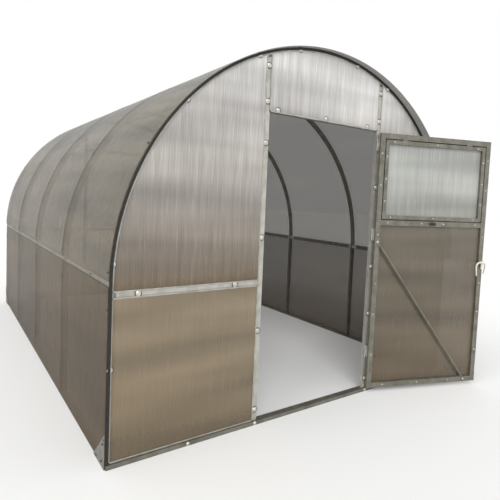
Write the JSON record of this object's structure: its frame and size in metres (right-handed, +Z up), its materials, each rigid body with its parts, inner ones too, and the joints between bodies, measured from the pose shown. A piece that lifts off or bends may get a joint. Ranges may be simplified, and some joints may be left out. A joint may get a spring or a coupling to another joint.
{
  "type": "polycarbonate greenhouse",
  "caption": "Tunnel-shaped greenhouse of steel tube arches and twin-wall polycarbonate sheets, with a hinged gable door that holds a vent sash and a lever handle.",
  "frame": {"origin": "middle of the front base rail's underside, in the plane of the rail's length and between its front and back faces", "axes": "+X to the right seen from the front, +Y from the door gable to the rear gable, +Z up"},
  "size_m": [3.0348, 4.6735, 2.5045],
  "materials": {
    "galvanised_tube": "satin galvanised zinc with faint spangle",
    "polycarbonate_sheet": "twin-wall sheet with fine ribs, semi-clear and glossy",
    "rubber_seal": "matte black",
    "zinc_hardware": "zinc plated, slightly dulled",
    "handle_metal": "pale satin enamel",
    "black_plastic": "matte moulded plastic"
  },
  "bodies": {
    "greenhouse": {"base_rail_front": "galvanised_tube", "base_rail_rear": "galvanised_tube", "base_rails_side": "galvanised_tube", "arch_1": "galvanised_tube", "arch_2": "galvanised_tube", "arch_3": "galvanised_tube", "arch_4": "galvanised_tube", "arch_5": "galvanised_tube", "side_purlins": "galvanised_tube", "ridge_purlin": "galvanised_tube", "front_posts": "galvanised_tube", "front_lintel": "galvanised_tube", "front_mid_rails": "galvanised_tube", "rear_posts": "galvanised_tube", "rear_lintel": "galvanised_tube", "rear_mid_rails": "galvanised_tube", "roof_sheet_1": "polycarbonate_sheet", "roof_sheet_2": "polycarbonate_sheet", "roof_sheet_3": "polycarbonate_sheet", "roof_sheet_4": "polycarbonate_sheet", "wall_sheets_left": "polycarbonate_sheet", "wall_sheets_right": "polycarbonate_sheet", "front_sheet_lower_left": "polycarbonate_sheet", "front_sheet_upper_left": "polycarbonate_sheet", "front_sheet_over_door": "polycarbonate_sheet", "front_sheet_lower_right": "polycarbonate_sheet", "front_sheet_upper_right": "polycarbonate_sheet", "rear_sheets": "polycarbonate_sheet", "front_edge_seal": "rubber_seal", "rear_edge_seal": "rubber_seal", "corner_plates": "zinc_hardware", "post_hinges": "zinc_hardware"},
    "door_leaf": {"leaf_stiles": "galvanised_tube", "leaf_top_rail": "galvanised_tube", "leaf_mid_rail": "galvanised_tube", "leaf_bottom_rail": "galvanised_tube", "leaf_brace": "galvanised_tube", "leaf_sheet": "polycarbonate_sheet", "leaf_hinges": "zinc_hardware", "vent_sash": "galvanised_tube", "vent_sheet": "polycarbonate_sheet", "vent_hinges": "zinc_hardware", "vent_latch": "black_plastic", "handle_roses": "handle_metal"},
    "door_handle": {"handle": "handle_metal"}
  },
  "joints": [
    {"name": "door_swing", "type": "hinge", "parent": "greenhouse", "child": "door_leaf", "pos_m": [0.515, -0.028, 1], "axis": [0, 0, 1], "range_deg": [-160, 10]},
    {"name": "handle_turn", "type": "hinge", "parent": "door_leaf", "child": "door_handle", "pos_m": [1.4511, -0.38574, 1.03], "axis": [-0.342, -0.9397, 0], "range_deg": [0, 90]}
  ]
}
